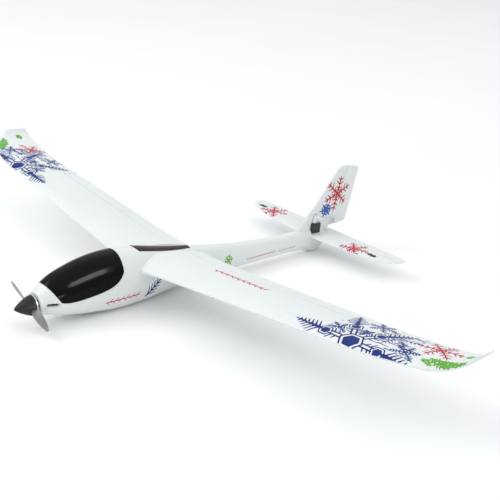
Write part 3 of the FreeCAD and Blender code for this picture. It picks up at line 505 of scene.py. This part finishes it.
# middle of the red crystal and of the green spray on each wing: x, y
TIP_PRINTS = {"port": ((352.0, 78.5), (369.5, 56.0)), "starboard": ((-330.0, 76.5), (-362.0, 52.0))}
for side, flip in (("port", 1), ("starboard", -1)):
    wing, aileron = f"wing_{side}", f"aileron_{side}"
    cx, cy = CRYSTAL_AT[0] * flip, CRYSTAL_AT[1]
    blue = moved(crystal, cx, cy)
    pale = moved(frost(7, flip), cx, cy)
    pale = clipped(pale, lambda x, y, blue=blue: 0.9 - blue(x, y))
    for name, ink, shape in (("crystal", "blue", blue), ("frost", "frost", pale)):
        spans = sorted((cx - CRYSTAL_REACH, cx + CRYSTAL_REACH))
        front = clipped(shape, lambda x, y: y - hinge_y(x) + 0.6)
        aft = clipped(shape, lambda x, y: hinge_y(x) + 0.1 - y,
                      lambda x, y: abs(x) - AILERON_OUTER + 0.1,
                      lambda x, y: AILERON_INNER + 0.1 - abs(x))
        corner = clipped(shape, lambda x, y: hinge_y(x) - 0.7 - y,
                         lambda x, y: AILERON_OUTER + 0.7 - abs(x))
        printed(f"print_{name}_{side}", wing, ink, front, spans, (-25, 76), wing_top, DOWN)
        printed(f"print_{name}_{side}_aft", aileron, ink, aft, spans, (74, 100), wing_top, DOWN)
        printed(f"print_{name}_{side}_tip", wing, ink, corner, sorted((318 * flip, 356 * flip)),
                (74, 100), wing_top, DOWN)
    (rx, ry), (gx, gy) = TIP_PRINTS[side]
    red = moved(flake(21.0, 1.8, RED_TWIGS, 0.0, 4.4, 0.3), rx, ry)
    red = clipped(red, lambda x, y: AILERON_OUTER + 1.0 - abs(x))
    printed(f"print_flake_{side}", wing, "red", red, (rx - 22, rx + 22), (ry - 22, ry + 22),
            wing_top, DOWN, 0.5)
    green = moved(foliage(11, 16.0, 7.2, 190, 1.3, 0.55 * flip), gx, gy)
    printed(f"print_leaves_{side}", wing, "green", green, (gx - 20, gx + 20), (gy - 19, gy + 19),
            wing_top, DOWN, 0.5)
    sprig = moved(foliage(31, 3.6, 4.0, 46, 1.2), 378.0 * flip, 86.0)
    printed(f"print_sprig_{side}", wing, "green", sprig, sorted((371 * flip, 386 * flip)),
            (78, 94), wing_top, DOWN, 0.5)

band = moved(twig(76.0, 9.0, 18), 75.0, 59.0)
printed("print_band_wing", "wing_port", "red", band, (70, 158), (52, 66), wing_top, DOWN, 0.5)


def port_side(u, v):
    return Vector((CLEAR_OF, u * MM, v * MM))


def starboard_side(u, v):
    return Vector((-CLEAR_OF, u * MM, v * MM))


# y and z of the rudder hinge's ends
RUDDER_FOOT, RUDDER_HEAD = (331.0, -8.0), (354.0, 71.0)


def rudder_hinge_y(z):
    """Where the raked rudder hinge runs, in mm."""
    rake = (RUDDER_HEAD[0] - RUDDER_FOOT[0]) / (RUDDER_HEAD[1] - RUDDER_FOOT[1])
    return RUDDER_FOOT[0] + (z - RUDDER_FOOT[1]) * rake


ELEVATOR_HINGE_Y = 323.0


# the blue branch on the pod: a stem, then pairs of twigs along it
BRANCH = [(8.0, -28.0, 30.0, -9.2, 2.1, 1.2)]
for step in range(5):
    bx, bz = 10.0 + 4.0 * step, -26.3 + 3.43 * step
    reach = 10.5 - 1.2 * step
    BRANCH.append((bx, bz, bx + 0.10 * reach, bz + reach, 1.6, 0.8))
    BRANCH.append((bx, bz, bx + reach, bz + 0.05 * reach, 1.6, 0.8))

for side, place, toward in (("port", port_side, (-1, 0, 0)),
                            ("starboard", starboard_side, (1, 0, 0))):
    shell = f"fuselage_{side}_shell"
    band = moved(twig(44.0, 7.0, 12), -47.0, -22.0)
    printed(f"print_band_pod_{side}", shell, "red", band, (-50, 4), (-28, -16), place, toward,
            0.4)
    printed(f"print_branch_{side}", shell, "blue", strokes(BRANCH), (5, 33), (-30, -7), place,
            toward, 0.4)
    star = moved(flake(7.6, 1.7, [(0.55, 0.38)], 2.2, 0.0, 0.2), 140.0, -17.0)
    printed(f"print_star_boom_{side}", shell, "green", star, (132, 148), (-25, -9), place,
            toward, 0.35)
    line = moved(twig(52.0, 3.4, 16), 173.0, -22.6)
    printed(f"print_line_boom_{side}", shell, "red", line, (170, 226), (-26, -19), place,
            toward, 0.35)
    rest = moved(twig(34.0, 2.8, 11), 228.0, -23.6)
    printed(f"print_line_aft_{side}", shell, "grey", rest, (225, 266), (-27, -20), place,
            toward, 0.35)
    big = moved(flake(20.5, 2.1, RED_TWIGS, 0.0, 4.6, 0.35), 340.0, 35.5, 1.2, 1.15)
    printed(f"print_flake_fin_{side}", "fin", "red",
            clipped(big, lambda x, y: x - rudder_hinge_y(y) + 0.6), (312, 366), (8, 64), place,
            toward, 0.4)
    printed(f"print_flake_rudder_{side}", "rudder", "red",
            clipped(big, lambda x, y: rudder_hinge_y(y) + 0.5 - x), (312, 368), (8, 64), place,
            toward, 0.4)
    small = moved(flake(8.8, 2.5, [(0.5, 0.38)], 3.9, 0.0, 0.1), 321.0, 15.5, 1.35, 1.08)
    small = clipped(small, lambda x, y: x - rudder_hinge_y(y) + 0.6,
                    lambda x, y, big=big: 0.6 - big(x, y))
    printed(f"print_star_fin_{side}", "fin", "sky", small, (306, 336), (4, 27), place, toward,
            0.35)

# middle of the red crystal and of the dark tip on each half of the tailplane: x, y
TAIL_PRINTS = {"port": ((69.0, 307.0), (95.0, 311.0)),
               "starboard": ((-84.0, 315.0), (-108.0, 317.5))}
for side, ((rx, ry), (tx, ty)) in TAIL_PRINTS.items():
    red = moved(flake(19.0, 2.0, RED_TWIGS, 0.0, 4.4, 0.3), rx, ry, 1.0, 1.25)
    tip = moved(foliage(21, 7.0, 2.9, 60, 1.3), tx, ty)
    tip = clipped(tip, lambda x, y, red=red: 0.6 - red(x, y))
    spans = sorted((rx * 0.7, tx * 1.12))
    for name, ink, shape in (("flake", "red", red), ("tip", "dark", tip)):
        fixed = clipped(shape, lambda x, y: y - ELEVATOR_HINGE_Y + 0.6)
        moving = clipped(shape, lambda x, y: ELEVATOR_HINGE_Y + 0.1 - y)
        printed(f"print_{name}_tail_{side}", "stabiliser", ink, fixed, spans, (282, 324),
                wing_top, DOWN, 0.5)
        printed(f"print_{name}_elevator_{side}", "elevator", ink, moving, spans, (322, 342),
                wing_top, DOWN, 0.5)


# ---------------------------------------------------------------- studio
def look(azimuth, elevation):
    """Unit vector from the part towards a viewer at these angles, in degrees."""
    a, e = math.radians(azimuth), math.radians(elevation)
    return Vector((math.sin(a) * math.cos(e), -math.cos(a) * math.cos(e), math.sin(e)))


def softbox(name, azimuth, elevation, distance, width, height, power):
    """A rectangular light aimed at the origin; metres and watts."""
    light = bpy.data.lights.new(name, "AREA")
    light.shape = "RECTANGLE"
    light.size, light.size_y = width, height
    light.energy = power
    lamp = bpy.data.objects.new(name, light)
    bpy.context.scene.collection.objects.link(lamp)
    back = look(azimuth, elevation)
    lamp.location = back * distance
    lamp.rotation_euler = back.to_track_quat("Z", "Y").to_euler()
    return lamp


FLOOR_HALF = 30.0         # metres
FLOOR_DROP = 0.0002       # below the lowest point, so that the two never share a plane
verts = [(x, y, 0.0) for x, y in ((-FLOOR_HALF, -FLOOR_HALF), (FLOOR_HALF, -FLOOR_HALF),
                                  (FLOOR_HALF, FLOOR_HALF), (-FLOOR_HALF, FLOOR_HALF))]
floor_mesh = bpy.data.meshes.new("studio_floor")
floor_mesh.from_pydata(verts, [], [(0, 1, 2, 3)])
floor = bpy.data.objects.new("studio_floor", floor_mesh)
bpy.context.scene.collection.objects.link(floor)
floor.location.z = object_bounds()[0][2] - FLOOR_DROP
paper = Shader("studio_paper")
paper.set(Roughness=0.9)
floor_mesh.materials.append(paper.finish(paper.ramp(paper.noise(3.0), 0.3, 0.7,
                                                    (0.94, 0.94, 0.94), (0.96, 0.96, 0.96))))

world = bpy.data.worlds.new("studio")
bpy.context.scene.world = world
world.use_nodes = True
world.node_tree.nodes["Background"].inputs["Color"].default_value = (0.95, 0.98, 1.0, 1)
world.node_tree.nodes["Background"].inputs["Strength"].default_value = 0.70

softbox("top_panel", 0, 90, 4.0, 10.0, 10.0, 142)
softbox("key_panel", -35, 40, 2.2, 1.2, 1.0, 12)
# the two strips are only seen in glossy pieces
for strip in (softbox("side_strip", 101, 36, 1.8, 0.75, 0.5, 15),
              softbox("low_strip", 72, 7, 1.8, 0.8, 0.16, 4)):
    strip.visible_diffuse = False
bpy.context.scene.view_settings.view_transform = "Standard"

# ---------------------------------------------------------------- camera
AZIMUTH, ELEVATION, ROLL = 43.6, 21.6, 6.7
DISTANCE = 1.1163
TARGET = Vector((0.0, 0.0687, 0.0230))
LENS = 64.5
camera = bpy.data.objects.new("camera", bpy.data.cameras.new("camera"))
bpy.context.scene.collection.objects.link(camera)
camera.data.lens = LENS
camera.data.sensor_width = 36.0
camera.data.clip_start = 0.01
camera.location = TARGET + look(AZIMUTH, ELEVATION) * DISTANCE
facing = look(AZIMUTH, ELEVATION).to_track_quat("Z", "Y").to_matrix()
camera.rotation_euler = (facing @ Matrix.Rotation(math.radians(ROLL), 3, "Z")).to_euler()
bpy.context.scene.camera = camera
